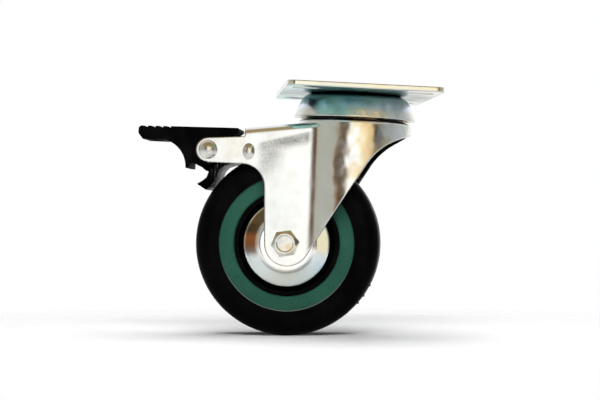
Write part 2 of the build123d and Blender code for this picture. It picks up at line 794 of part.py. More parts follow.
with BuildPart() as brake_pedal:
    # foot pad
    with BuildSketch(pedal_plane) as pad:
        with BuildLine():
            Polyline(
                (-pedal_reach, pad_top(-pedal_reach)),
                (-pedal_reach, pedal_tip_height),
                (-pedal_reach + pedal_heel_run, pedal_heel_height),
                (pedal_hub_r, pedal_heel_height),
                (pedal_tail - pedal_tail_slant, pedal_tail_under),
                (pedal_tail, pedal_tail_height),
                (pedal_tail, pad_top(pedal_tail)),
                close=True,
            )
        make_face()
        fillet(pad.vertices().group_by(Axis.X)[0], pedal_tip_r)
        fillet(pad.vertices().group_by(Axis.X)[-1], pedal_tail_r)
    extrude(amount=pedal_width / 2, both=True)
    with BuildSketch(fork_level(pivot_z)) as pad_plan:
        with Locations((pivot_x + (pedal_tail - pedal_reach) / 2, 0)):
            Rectangle(pedal_reach + pedal_tail, pedal_width)
        fillet(pad_plan.vertices().group_by(Axis.X)[0], pedal_corner_r)
    extrude(amount=2 * pedal_top, mode=Mode.INTERSECT)
    # scooped skirt, and the body down to the hub
    with BuildSketch(pedal_plane):
        with BuildLine():
            RadiusArc((-pedal_heel_end, pedal_heel_height), skirt_foot, pedal_scoop_r)
            Polyline(
                skirt_foot,
                (-pedal_skirt_back, -pedal_skirt_drop),
                notch_top,
                (0, -pedal_hub_r),
                (pedal_hub_r, 0),
                (pedal_hub_r, pad_core),
                (-pedal_heel_end, pad_core),
                (-pedal_heel_end, pedal_heel_height),
            )
        make_face()
        # cam lobe that bears on the shoe
        with BuildLine():
            Polyline((0, 0), notch_top, lobe_start)
            RadiusArc(lobe_start, lobe_corner, -pedal_lobe_r)
            Polyline(lobe_corner, flank_touch, (0, 0))
        make_face()
    extrude(amount=pedal_width / 2, both=True)
    # hub between the arms
    with BuildSketch(pedal_plane):
        Circle(pedal_hub_r)
    extrude(amount=pedal_hub_width / 2, both=True)
    # pockets under the pad, either side of a rib
    with BuildSketch(fork_level(pivot_z + pocket_ceiling)):
        with Locations((pivot_x + (pocket_front + pocket_back) / 2, 0)):
            with GridLocations(0, pocket_width + pedal_wall, 1, 2):
                Rectangle(pocket_back - pocket_front, pocket_width)
    extrude(amount=-pocket_ceiling, mode=Mode.SUBTRACT)
    # grip grooves across the top, and the bore for the rivet
    with BuildSketch(pedal_plane):
        with Locations([(x, pad_top(x)) for x in ridge_places]):
            Rectangle(ridge_groove, 2 * ridge_depth, rotation=pedal_top_slope)
        Circle(pivot_shank_r + running_gap)
    extrude(amount=pedal_hub_width, both=True, mode=Mode.SUBTRACT)
save(brake_pedal, "brake_pedal")

# ---------------------------------------------------------------- brake shoe

shoe_foot = off_tyre(shoe_foot_angle, shoe_sole[-1][1] + shoe_sheet / 2)
shoe_toe = off_tyre(shoe_foot_angle, shoe_foot_reach)
foot_sweep = degrees(shoe_sheet / (tyre_r + shoe_foot_reach / 2))
shoe_open = shoe_foot_reach + shoe_sheet

with BuildPart() as brake_shoe:
    with BuildSketch(fork_side(0)):
        with BuildLine():
            Polyline(
                *[off_tyre(angle, gap) for angle, gap in shoe_sole],
                shoe_foot,
                shoe_toe,
                *[off_tyre(angle, gap) for angle, gap in shoe_edge],
                close=True,
            )
        make_face()
        with Locations((shoe_pin_x, shoe_pin_z)):
            Circle(shoe_eye_r)
    extrude(amount=shoe_width / 2, both=True)
    # the hollow between the cheeks, above the sole and behind the foot
    with BuildSketch(fork_side(0)):
        with BuildLine():
            Polyline(
                off_tyre(0, shoe_sole[0][1] + shoe_sheet),
                *[off_tyre(angle, gap + shoe_sheet) for angle, gap in shoe_sole[:-1]],
                off_tyre(shoe_foot_angle - foot_sweep, shoe_sole[-1][1] + shoe_sheet),
                off_tyre(shoe_foot_angle - foot_sweep, shoe_open),
                off_tyre(shoe_foot_angle / 2, 2 * shoe_open),
                off_tyre(0, shoe_open),
                close=True,
            )
        make_face()
        with Locations((shoe_pin_x, shoe_pin_z)):
            Circle(shoe_eye_r + shoe_eye_gap)
    extrude(amount=shoe_width / 2 - shoe_sheet, both=True, mode=Mode.SUBTRACT)
    with BuildSketch(fork_side(0, shoe_pin_x, shoe_pin_z)):
        Circle(shoe_pin_r + running_gap)
    extrude(amount=shoe_width, both=True, mode=Mode.SUBTRACT)
save(brake_shoe, "brake_shoe")
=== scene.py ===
import json
from math import atan2, cos, hypot, pi, radians, sin, sqrt, tan

import bmesh
import bpy
from mathutils import Matrix, Vector


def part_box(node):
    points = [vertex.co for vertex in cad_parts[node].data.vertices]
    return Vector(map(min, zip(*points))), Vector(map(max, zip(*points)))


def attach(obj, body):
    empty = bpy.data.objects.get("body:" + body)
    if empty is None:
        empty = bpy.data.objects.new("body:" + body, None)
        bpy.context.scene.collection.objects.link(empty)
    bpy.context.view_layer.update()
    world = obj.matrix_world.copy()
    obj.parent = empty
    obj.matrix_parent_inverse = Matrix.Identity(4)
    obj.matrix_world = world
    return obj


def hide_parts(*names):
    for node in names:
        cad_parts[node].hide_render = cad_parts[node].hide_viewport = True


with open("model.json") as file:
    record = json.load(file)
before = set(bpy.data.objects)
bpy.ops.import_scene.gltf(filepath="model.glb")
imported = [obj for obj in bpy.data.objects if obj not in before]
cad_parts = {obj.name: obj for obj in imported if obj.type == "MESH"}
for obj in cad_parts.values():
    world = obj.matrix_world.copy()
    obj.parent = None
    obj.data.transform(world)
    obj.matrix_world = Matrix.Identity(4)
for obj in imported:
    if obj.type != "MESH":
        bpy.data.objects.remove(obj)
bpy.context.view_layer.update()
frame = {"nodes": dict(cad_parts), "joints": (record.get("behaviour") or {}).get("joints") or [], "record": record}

# ---------------------------------------------------------------- places, from the frame

joints = {joint["name"]: joint for joint in frame["joints"]}
wheel_centre = Vector(joints["wheel_spin"]["pos_m"])
tyre_low, tyre_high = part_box("tyre")
tyre_r = (tyre_high.z - tyre_low.z) / 2
rim_low, rim_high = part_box("wheel_rim")
rim_r = (rim_high.z - rim_low.z) / 2
up = Vector((0, 0, 1))
axle_across = Vector(joints["wheel_spin"]["axis"]).normalized()
fork_right = axle_across.cross(up)

# ---------------------------------------------------------------- camera and stage

# the view is across the plate's long side, turned a little about the swivel axis;
# the camera's place is from the plate's centre, in that turned frame
VIEW_TURN = radians(-5)
CAMERA_PLACE = Vector((-0.00136, -0.78793, -0.05421))
CAMERA_YAW = 0.0249
CAMERA_PITCH = 0.0104
CAMERA_ROLL = -0.0464
CAMERA_LENS_MM = 114.64


def rotation(angle, axis):
    return Matrix.Rotation(angle, 3, axis)


view_turn = rotation(VIEW_TURN, "Z")


def make_camera():
    """The photograph's view: the camera is level, and the castor leans on its wheel."""
    aim = rotation(CAMERA_YAW, "Z") @ rotation(CAMERA_PITCH, "X") @ rotation(CAMERA_ROLL, "Y")
    data = bpy.data.cameras.new("camera")
    data.sensor_width = 36
    data.lens = CAMERA_LENS_MM
    data.clip_start = 0.01
    camera = bpy.data.objects.new("camera", data)
    upright = view_turn @ aim @ rotation(pi / 2, "X")
    camera.matrix_world = Matrix.Translation(view_turn @ CAMERA_PLACE) @ upright.to_4x4()
    bpy.context.scene.collection.objects.link(camera)
    bpy.context.scene.camera = camera
    return aim


camera_aim = make_camera()
camera_right = camera_aim.col[0]
# the floor is level across the view, and touches the tyre along its lowest line
floor_up = view_turn @ Vector((-camera_right.z, 0, camera_right.x)).normalized()
floor_right = view_turn @ Vector((camera_right.x, 0, camera_right.z)).normalized()
floor_back = floor_up.cross(floor_right)
floor_point = wheel_centre - floor_up * tyre_r


def link(node_tree, source, target):
    node_tree.links.new(source, target)


def new_tree(owner):
    """An empty node tree for a material or a world, and its output node's surface."""
    owner.use_nodes = True
    tree = owner.node_tree
    tree.nodes.clear()
    kind = "ShaderNodeOutputWorld" if isinstance(owner, bpy.types.World) else "ShaderNodeOutputMaterial"
    return tree, tree.nodes.new(kind).inputs["Surface"]


def math_node(tree, operation, *values):
    """A Math node whose inputs are sockets or plain numbers."""
    made = tree.nodes.new("ShaderNodeMath")
    made.operation = operation
    for socket, value in zip(made.inputs, values):
        if isinstance(value, (int, float)):
            socket.default_value = value
        else:
            link(tree, value, socket)
    return made.outputs[0]


def colour_ramp(tree, value, stops):
    """A ramp of (place, colour) stops along a 0 to 1 value."""
    ramp = tree.nodes.new("ShaderNodeValToRGB")
    ends = ramp.color_ramp.elements
    while len(ends) < len(stops):
        ends.new(0.5)
    for element, (place, colour) in zip(ends, stops):
        element.position = place
        element.color = (*colour, 1)
    link(tree, value, ramp.inputs["Fac"])
    return ramp.outputs["Color"]


def mix_shader(tree, share, first, second):
    mix = tree.nodes.new("ShaderNodeMixShader")
    link(tree, share, mix.inputs[0])
    link(tree, first, mix.inputs[1])
    link(tree, second, mix.inputs[2])
    return mix.outputs[0]


def quad(name, corners):
    mesh = bpy.data.meshes.new(name)
    mesh.from_pydata(corners, [], [(0, 1, 2, 3)])
    made = bpy.data.objects.new(name, mesh)
    bpy.context.scene.collection.objects.link(made)
    return made


FLOOR_HALF = 3.0
FLOOR_CLEAR = (0.12, 0.27)
FLOOR_LIFT = 0.03


def make_floor():
    """A pale floor that fades into the white surroundings away from the castor."""
    across = floor_right * FLOOR_HALF
    along = floor_back * FLOOR_HALF
    floor = quad("floor", [floor_point - across - along, floor_point + across - along,
                           floor_point + across + along, floor_point - across + along])
    material = bpy.data.materials.new("floor")
    tree, surface = new_tree(material)
    diffuse = tree.nodes.new("ShaderNodeBsdfDiffuse")
    diffuse.inputs["Color"].default_value = (0.87, 0.87, 0.875, 1)
    glow = tree.nodes.new("ShaderNodeEmission")
    path = tree.nodes.new("ShaderNodeLightPath")
    lift = math_node(tree, "MULTIPLY", path.outputs["Is Camera Ray"], FLOOR_LIFT)
    link(tree, lift, glow.inputs["Strength"])
    lit = tree.nodes.new("ShaderNodeAddShader")
    link(tree, diffuse.outputs[0], lit.inputs[0])
    link(tree, glow.outputs[0], lit.inputs[1])
    clear = tree.nodes.new("ShaderNodeBsdfTransparent")
    geometry = tree.nodes.new("ShaderNodeNewGeometry")
    away = tree.nodes.new("ShaderNodeVectorMath")
    away.operation = "DISTANCE"
    away.inputs[1].default_value = floor_point
    link(tree, geometry.outputs["Position"], away.inputs[0])
    fade = tree.nodes.new("ShaderNodeMapRange")
    fade.interpolation_type = "SMOOTHSTEP"
    fade.inputs["From Min"].default_value = FLOOR_CLEAR[0]
    fade.inputs["From Max"].default_value = FLOOR_CLEAR[1]
    link(tree, away.outputs["Value"], fade.inputs["Value"])
    # the camera and metal see the floor fade out, and from below it isn't there at all
    seen = math_node(tree, "MAXIMUM", path.outputs["Is Camera Ray"], path.outputs["Is Glossy Ray"])
    faded = math_node(tree, "MULTIPLY", fade.outputs[0], seen)
    hidden = math_node(tree, "MAXIMUM", faded, geometry.outputs["Backfacing"])
    link(tree, mix_shader(tree, hidden, lit.outputs[0], clear.outputs[0]), surface)
    floor.data.materials.append(material)


DOME_LIGHT = 0.05

# what metal mirrors from the level part of the studio, by azimuth in turns: 0.5 is behind
# the camera, more is further to the right, and past a quarter turn is the white backdrop
STUDIO = [
    (0.10, (1.00, 1.00, 1.00)),
    (0.20, (0.50, 0.51, 0.47)),
    (0.390, (0.47, 0.47, 0.40)),
    (0.404, (0.30, 0.15, 0.06)),
    (0.418, (0.09, 0.065, 0.035)),
    (0.455, (0.15, 0.10, 0.06)),
    (0.472, (1.30, 1.29, 1.27)),
    (0.512, (1.31, 1.30, 1.23)),
    (0.532, (1.20, 1.12, 0.86)),
    (0.563, (1.12, 0.86, 0.48)),
    (0.606, (0.80, 0.56, 0.26)),
    (0.626, (0.10, 0.085, 0.07)),
    (0.650, (0.08, 0.075, 0.07)),
    (0.672, (0.35, 0.37, 0.36)),
    (0.84, (0.52, 0.55, 0.54)),
    (0.92, (1.00, 1.00, 1.00)),
]
OVERHEAD_FRONT = (0.38, 0.29, 0.14)
OVERHEAD_BACK = (0.92, 0.93, 0.95)
FLOOR_GLOW = (0.80, 0.81, 0.82)


def smooth_step(tree, value, low, high):
    step = tree.nodes.new("ShaderNodeMapRange")
    step.interpolation_type = "SMOOTHSTEP"
    step.inputs["From Min"].default_value = low
    step.inputs["From Max"].default_value = high
    link(tree, value, step.inputs["Value"])
    return step.outputs[0]


def mix_colour(tree, share, first, second):
    """A mix of two colours, each a socket or three numbers."""
    mix = tree.nodes.new("ShaderNodeMix")
    mix.data_type = "RGBA"
    link(tree, share, mix.inputs[0])
    for socket, colour in zip((mix.inputs[6], mix.inputs[7]), (first, second)):
        if isinstance(colour, tuple):
            socket.default_value = (*colour, 1)
        else:
            link(tree, colour, socket)
    return mix.outputs[2]


def make_world():
    """White to the camera, a soft dome for light, and a studio with dark and warm parts for metal."""
    world = bpy.data.worlds.new("world")
    bpy.context.scene.world = world
    tree, surface = new_tree(world)
    path = tree.nodes.new("ShaderNodeLightPath")
    place = tree.nodes.new("ShaderNodeTexCoord")
    turned = tree.nodes.new("ShaderNodeVectorRotate")
    turned.rotation_type = "Z_AXIS"
    turned.inputs["Angle"].default_value = -VIEW_TURN
    link(tree, place.outputs["Generated"], turned.inputs["Vector"])
    split = tree.nodes.new("ShaderNodeSeparateXYZ")
    link(tree, turned.outputs[0], split.inputs[0])
    toward = math_node(tree, "MULTIPLY", split.outputs["Y"], -1.0)
    azimuth = math_node(tree, "ARCTAN2", split.outputs["X"], toward)
    share = math_node(tree, "MULTIPLY_ADD", azimuth, 0.5 / pi, 0.5)
    level = colour_ramp(tree, share, STUDIO)
    overhead = mix_colour(tree, smooth_step(tree, toward, -0.25, 0.15), OVERHEAD_BACK, OVERHEAD_FRONT)
    upper = mix_colour(tree, smooth_step(tree, split.outputs["Z"], 0.42, 0.62), level, overhead)
    depth = math_node(tree, "MULTIPLY", split.outputs["Z"], -1.0)
    studio = mix_colour(tree, smooth_step(tree, depth, 0.05, 0.22), upper, FLOOR_GLOW)
    dome = tree.nodes.new("ShaderNodeBackground")
    dome.inputs["Strength"].default_value = DOME_LIGHT
    white = tree.nodes.new("ShaderNodeBackground")
    white.inputs["Strength"].default_value = 1.0
    mirrored = tree.nodes.new("ShaderNodeBackground")
    link(tree, studio, mirrored.inputs["Color"])
    for background in (dome, white):
        background.inputs["Color"].default_value = (1, 1, 1, 1)
    clear = math_node(tree, "MAXIMUM", path.outputs["Is Camera Ray"], path.outputs["Is Transmission Ray"])
    behind = mix_shader(tree, clear, dome.outputs[0], white.outputs[0])
    link(tree, mix_shader(tree, path.outputs["Is Glossy Ray"], behind, mirrored.outputs[0]), surface)


def make_light(name, place, size, power):
    """A soft box aimed at the wheel; metal mirrors the world's studio in its stead."""
    data = bpy.data.lights.new(name, "AREA")
    data.shape = "RECTANGLE"
    data.size, data.size_y = size
    data.energy = power
    lamp = bpy.data.objects.new(name, data)
    lamp.location = view_turn @ Vector(place)
    lamp.rotation_euler = (wheel_centre - lamp.location).to_track_quat("-Z", "Y").to_euler()
    lamp.visible_glossy = False
    bpy.context.scene.collection.objects.link(lamp)


make_floor()
make_world()
make_light("front", (0.0, -1.0, 0.16), (0.9, 0.35), 2.6)
make_light("key", (0.0, -1.0, 0.74), (0.8, 0.35), 10.5)
make_light("top", (-0.03, 0.20, 0.97), (0.7, 0.9), 9.5)
bpy.context.scene.view_settings.view_transform = "Standard"

# ---------------------------------------------------------------- materials


class Surface:
    """One Principled material with object-space detail, built up a node at a time."""

    def __init__(self, name, colour, metallic=0.0, roughness=0.5, **sockets):
        self.material = bpy.data.materials.new(name)
        self.material.use_nodes = True
        self.tree = self.material.node_tree
        self.shader = self.tree.nodes["Principled BSDF"]
        self.shader.inputs["Base Color"].default_value = (*colour, 1)
        self.shader.inputs["Metallic"].default_value = metallic
        self.shader.inputs["Roughness"].default_value = roughness
        for socket, value in sockets.items():
            self.shader.inputs[socket.replace("_", " ")].default_value = value
        self.place = self.tree.nodes.new("ShaderNodeTexCoord").outputs["Object"]

    def node(self, kind, **values):
        made = self.tree.nodes.new(kind)
        for name, value in values.items():
            setattr(made, name, value)
        return made

    def noise(self, scale, detail=3.0, stretch=(1, 1, 1)):
        """Noise over the surface, scale in cycles a metre, drawn out where stretch is small."""
        mapping = self.node("ShaderNodeMapping")
        mapping.inputs["Scale"].default_value = stretch
        link(self.tree, self.place, mapping.inputs["Vector"])
        noise = self.node("ShaderNodeTexNoise")
        noise.inputs["Scale"].default_value = scale
        noise.inputs["Detail"].default_value = detail
        link(self.tree, mapping.outputs[0], noise.inputs["Vector"])
        return noise.outputs["Fac"]

    def along(self, direction, low, high):
        """A smooth 0 to 1 share of how far a point lies along a direction, between two places in metres."""
        reach = self.node("ShaderNodeVectorMath", operation="DOT_PRODUCT")
        reach.inputs[1].default_value = direction
        link(self.tree, self.place, reach.inputs[0])
        return smooth_step(self.tree, reach.outputs["Value"], low, high)

    def short_of(self, direction, low, high):
        """What is left of a full share by along."""
        return math_node(self.tree, "SUBTRACT", 1.0, self.along(direction, low, high))

    def both(self, *shares):
        """The product of several shares."""
        whole = shares[0]
        for share in shares[1:]:
            whole = math_node(self.tree, "MULTIPLY", whole, share)
        return whole

    def scaled(self, value, times, plus):
        """A value, times one number, plus another number or socket."""
        return math_node(self.tree, "MULTIPLY_ADD", value, times, plus)

    def facing(self, direction):
        """How far the surface faces a direction: 1 straight at it, -1 straight away."""
        facing = self.node("ShaderNodeVectorMath", operation="DOT_PRODUCT")
        facing.inputs[1].default_value = direction
        link(self.tree, self.node("ShaderNodeNewGeometry").outputs["Normal"], facing.inputs[0])
        return facing.outputs["Value"]

    def off_axle(self, low, high):
        """A smooth 0 to 1 share of the distance from the wheel's axle, between two distances."""
        away = self.node("ShaderNodeVectorMath", operation="SUBTRACT")
        away.inputs[1].default_value = wheel_centre
        link(self.tree, self.place, away.inputs[0])
        square = self.node("ShaderNodeVectorMath", operation="CROSS_PRODUCT")
        square.inputs[1].default_value = axle_across
        link(self.tree, away.outputs[0], square.inputs[0])
        distance = self.node("ShaderNodeVectorMath", operation="LENGTH")
        link(self.tree, square.outputs[0], distance.inputs[0])
        return smooth_step(self.tree, distance.outputs["Value"], low, high)

    def tint(self, share, colour):
        """Multiply the base colour by another, a socket or three numbers, where the share is 1."""
        base = self.shader.inputs["Base Color"]
        toned = self.node("ShaderNodeMix", data_type="RGBA", blend_type="MULTIPLY")
        link(self.tree, share, toned.inputs[0])
        link(self.tree, base.links[0].from_socket, toned.inputs[6])
        if isinstance(colour, tuple):
            toned.inputs[7].default_value = (*colour, 1)
        else:
            link(self.tree, colour, toned.inputs[7])
        link(self.tree, toned.outputs[2], base)

    def colour(self, value, stops):
        link(self.tree, colour_ramp(self.tree, value, stops), self.shader.inputs["Base Color"])

    def span(self, value, low, high, socket):
        """Spread a 0 to 1 value between low and high, into a socket of the shader."""
        spread = self.node("ShaderNodeMapRange")
        spread.inputs["From Min"].default_value = 0.3
        spread.inputs["From Max"].default_value = 0.7
        spread.inputs["To Min"].default_value = low
        spread.inputs["To Max"].default_value = high
        link(self.tree, value, spread.inputs["Value"])
        link(self.tree, spread.outputs[0], self.shader.inputs[socket])

    def round_edges(self, radius):
        """Shade the edges as rolled over by a radius, and give the share of the rolled band."""
        bevel = self.node("ShaderNodeBevel", samples=8)
        bevel.inputs["Radius"].default_value = radius
        link(self.tree, bevel.outputs[0], self.shader.inputs["Normal"])
        alike = self.node("ShaderNodeVectorMath", operation="DOT_PRODUCT")
        link(self.tree, bevel.outputs[0], alike.inputs[0])
        link(self.tree, self.node("ShaderNodeNewGeometry").outputs["Normal"], alike.inputs[1])
        leaning = math_node(self.tree, "SUBTRACT", 1.0, alike.outputs["Value"])
        return smooth_step(self.tree, leaning, 0.01, 0.16)

    def bump(self, value, depth, strength=1.0):
        """Raise the surface by value times depth, in metres; calls add up."""
        bump = self.node("ShaderNodeBump")
        bump.inputs["Distance"].default_value = depth
        bump.inputs["Strength"].default_value = strength
        link(self.tree, value, bump.inputs["Height"])
        normal = self.shader.inputs["Normal"]
        if normal.is_linked:
            link(self.tree, normal.links[0].from_socket, bump.inputs["Normal"])
        link(self.tree, bump.outputs[0], normal)


def zinc_sheet(name, tints, rough=(0.13, 0.24), edge=(0.55, 0.56, 0.56)):
    """Bright zinc plating over rolled steel, tinted in patches; its cut and bent edges are rounded and darkened
    with painted shade.
    """
    made = Surface(name, (0.75, 0.76, 0.73), metallic=1.0, roughness=0.2)
    made.colour(made.noise(42, 4), tints)
    made.span(made.noise(160, 6), *rough, "Roughness")
    # painted shade: the rolled edges are darkened, as though they mirrored dark surroundings
    made.tint(made.round_edges(0.0009), edge)
    made.bump(made.noise(900, 5), 0.000012)
    made.bump(made.noise(60, 2), 0.00010)
    return made


def zinc_fastener():
    made = Surface("zinc_fastener", (0.72, 0.71, 0.66), metallic=1.0, roughness=0.2)
    made.colour(made.noise(180, 3), [
        (0.32, (0.57, 0.57, 0.53)),
        (0.54, (0.75, 0.74, 0.70)),
        (0.75, (0.76, 0.67, 0.46)),
    ])
    made.span(made.noise(500, 4), 0.14, 0.28, "Roughness")
    made.bump(made.noise(1500, 4), 0.00001)
    return made.material


def bearing_steel():
    made = Surface("bearing_steel", (0.62, 0.62, 0.62), metallic=1.0, roughness=0.16)
    made.span(made.noise(600, 3), 0.10, 0.22, "Roughness")
    made.colour(made.noise(300, 2), [(0.35, (0.52, 0.52, 0.53)), (0.65, (0.66, 0.66, 0.65))])
    return made.material


def tyre_rubber():
    made = Surface("tyre_rubber", (0.002, 0.002, 0.002), roughness=0.36, Specular_IOR_Level=0.02)
    made.colour(made.noise(90, 5), [(0.35, (0.0006, 0.0006, 0.0007)), (0.70, (0.0025, 0.0025, 0.0025))])
    made.span(made.noise(240, 6), 0.30, 0.46, "Roughness")
    made.bump(made.noise(1100, 5), 0.00003)
    return made.material


def green_plastic():
    """Dark green moulding, uneven in tone, with fine dark specks and a painted highlight on its lip low down."""
    made = Surface("green_plastic", (0.026, 0.080, 0.060), roughness=0.45, Specular_IOR_Level=0.06)
    specks = smooth_step(made.tree, made.noise(1300, 2), 0.64, 0.70)
    tone = colour_ramp(made.tree, made.noise(70, 5), [
        (0.35, (0.018, 0.074, 0.050)),
        (0.65, (0.023, 0.093, 0.062)),
    ])
    speckled = mix_colour(made.tree, specks, tone, (0.008, 0.036, 0.026))
    # painted highlight: the lip beside the tyre is paler low down
    low = made.short_of((0, 0, 1), -0.084, -0.070)
    lip = made.both(made.off_axle(rim_r - 0.00042, rim_r - 0.00018), low, 0.75)
    highlighted_green = mix_colour(made.tree, lip, speckled, (0.20, 0.22, 0.19))
    link(made.tree, highlighted_green, made.shader.inputs["Base Color"])
    made.span(made.noise(400, 5), 0.38, 0.55, "Roughness")
    made.bump(made.noise(1600, 4), 0.00002)
    return made.material


def black_plastic():
    made = Surface("black_plastic", (0.003, 0.003, 0.003), roughness=0.42, Specular_IOR_Level=0.02)
    made.colour(made.noise(120, 4), [(0.35, (0.0008, 0.0008, 0.0008)), (0.70, (0.003, 0.003, 0.003))])
    made.span(made.noise(700, 5), 0.46, 0.62, "Roughness")
    made.bump(made.noise(2200, 4), 0.00004)
    return made.material


def nylon():
    made = Surface("nylon", (0.72, 0.72, 0.68), roughness=0.5)
    made.colour(made.noise(300, 3), [(0.3, (0.68, 0.68, 0.64)), (0.7, (0.76, 0.76, 0.72))])
    return made.material


def spring_steel():
    """Blackened spring steel, brushed bright in streaks where it has rubbed."""
    made = Surface("spring_steel", (0.03, 0.03, 0.03), metallic=0.9, roughness=0.36, Specular_IOR_Level=0.1)
    made.colour(made.noise(1300, 5, (1, 1, 0.12)), [
        (0.42, (0.002, 0.002, 0.002)),
        (0.58, (0.010, 0.010, 0.010)),
        (0.74, (0.20, 0.20, 0.19)),
    ])
    # painted shade: the shoe is darker towards its foot
    low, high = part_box("brake_shoe")
    made.tint(made.short_of((0, 0, 1), low.z + 0.003, low.z + 0.009), (0.12, 0.12, 0.12))
    made.span(made.noise(420, 4), 0.28, 0.45, "Roughness")
    made.bump(made.noise(1200, 4, (1, 1, 0.2)), 0.00003)
    return made.material


def plate_finish():
    """The plate: cream at the edges and the right, blue-green underneath, and darkened with painted shade round
    the race.
    """
    made = zinc_sheet("plate_zinc", [
        (0.30, (0.74, 0.78, 0.76)),
        (0.50, (0.82, 0.82, 0.76)),
        (0.72, (0.84, 0.79, 0.62)),
    ])
    under = smooth_step(made.tree, made.facing((0, 0, -1)), 0.5, 0.9)
    left = made.short_of((1, 0, 0), -0.015, 0.026)
    made.tint(made.both(under, left), (0.46, 0.84, 0.86))
    # the top, which seats against what the castor carries, is duller
    top = smooth_step(made.tree, made.facing((0, 0, 1)), 0.5, 0.9)
    link(made.tree, made.scaled(top, -0.55, 1.0), made.shader.inputs["Metallic"])
    made.tint(top, (0.70, 0.72, 0.74))
    # painted shade under the plate round the race cup, out to a ragged edge
    flat = made.node("ShaderNodeMapping")
    flat.inputs["Scale"].default_value = (1, 1, 0)
    link(made.tree, made.place, flat.inputs["Vector"])
    away = made.node("ShaderNodeVectorMath", operation="LENGTH")
    link(made.tree, flat.outputs[0], away.inputs[0])
    ragged = made.scaled(made.noise(120, 4), 0.012, away.outputs["Value"])
    painted_race_shade = math_node(made.tree, "SUBTRACT", 1.0, smooth_step(made.tree, ragged, 0.030, 0.047))
    made.tint(made.both(under, painted_race_shade), (0.16, 0.24, 0.20))
    return made.material


def cup_finish():
    """The race cup: blue-green, with painted reflection making it paler and greyer down towards its flared rim,
    and a painted gold glint low on one side.
    """
    made = zinc_sheet("cup_zinc", [
        (0.30, (0.56, 0.67, 0.84)),
        (0.48, (0.78, 0.82, 1.00)),
        (0.62, (0.92, 0.92, 1.00)),
        (0.76, (0.92, 0.82, 0.66)),
    ])
    base = made.shader.inputs["Base Color"]
    # painted reflection: the flare low down is paler and greyer, touched with gold
    low_reflection_tone = colour_ramp(made.tree, made.noise(60, 4), [
        (0.34, (0.60, 0.66, 0.66)), (0.50, (0.74, 0.75, 0.70)), (0.66, (0.86, 0.70, 0.36))])
    low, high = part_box("upper_race_cup")
    height = made.along((0, 0, 1), low.z + 0.0022, low.z + 0.0046)
    toned = mix_colour(made.tree, height, low_reflection_tone, base.links[0].from_socket)
    # a painted gold glint, low on the side the long way of the plate, and less metallic there
    over = made.along((0, -1, 0), 0.0, 0.004)
    wide = made.both(made.along((1, 0, 0), -0.010, 0.005), made.short_of((1, 0, 0), 0.006, 0.0135))
    low_down = made.short_of((0.14, 0, 1), low.z + 0.0022, low.z + 0.0060)
    ragged = made.scaled(smooth_step(made.tree, made.noise(190, 2), 0.34, 0.60), 0.5, 0.5)
    patch = made.both(over, wide, low_down, ragged)
    link(made.tree, mix_colour(made.tree, patch, toned, (1.00, 0.68, 0.35)), base)
    link(made.tree, made.scaled(patch, -0.6, 1.0), made.shader.inputs["Metallic"])
    return made.material


def fork_finish():
    """The fork: bright, with painted shade on its edges, inside and just below the arms' bend, grained there where
    the press drew the arms from the legs, and painted gold reflection high on the hood.
    """
    # painted shade: the fork's rolled edges are darkened strongly
    made = zinc_sheet("fork_zinc", [
        (0.28, (0.79, 0.81, 0.80)),
        (0.46, (0.85, 0.86, 0.85)),
        (0.60, (0.85, 0.85, 0.82)),
        (0.74, (0.84, 0.80, 0.70)),
    ], edge=(0.14, 0.14, 0.14))
    right = tuple(fork_right)
    # painted shade: the inside is darkened
    across = tuple(axle_across)
    side = made.scaled(made.along(across, -0.001, 0.001), -2.0, 1.0)
    inside_shade = made.both(made.facing(across), side)
    made.tint(smooth_step(made.tree, inside_shade, 0.3, 0.7), (0.16, 0.16, 0.16))
    # painted shade just below the arm's bend line, which rises a little towards the hood, with a tail down the
    # leg's left; grain and blotches break it up
    bend_line = tuple(up - fork_right * 0.26)
    above = made.short_of(bend_line, -0.0150, -0.0132)
    band = made.both(made.along(bend_line, -0.0208, -0.0160), above)
    left = made.short_of(right, -0.0330, -0.0240)
    tail = made.both(made.along(bend_line, -0.0335, -0.0175), above, left, 0.8)
    patch = math_node(made.tree, "MAXIMUM", band, tail)
    between = made.both(made.along(right, -0.0395, -0.0345), made.short_of(right, -0.0180, -0.0155))
    grain = made.scaled(smooth_step(made.tree, made.noise(2900, 5, (1, 1, 0.8)), 0.30, 0.70), 0.52, 0.46)
    blotch = made.scaled(smooth_step(made.tree, made.noise(120, 5), 0.30, 0.62), 0.4, 0.6)
    made.tint(made.both(patch, between, grain, blotch), (0.14, 0.14, 0.13))
    # the hood isn't quite even where the press drew it round, and has painted gold reflection in patches high up
    hood = made.along(right, -0.0150, -0.0060)
    made.bump(made.both(made.noise(66, 2.2), hood), 0.0011)
    painted_gold_reflection = smooth_step(made.tree, made.noise(150, 4), 0.46, 0.66)
    made.tint(made.both(painted_gold_reflection, made.along(right, -0.0060, -0.0010), made.along((0, 0, 1), -0.052, -0.030)),
              (0.92, 0.81, 0.63))
    return made.material


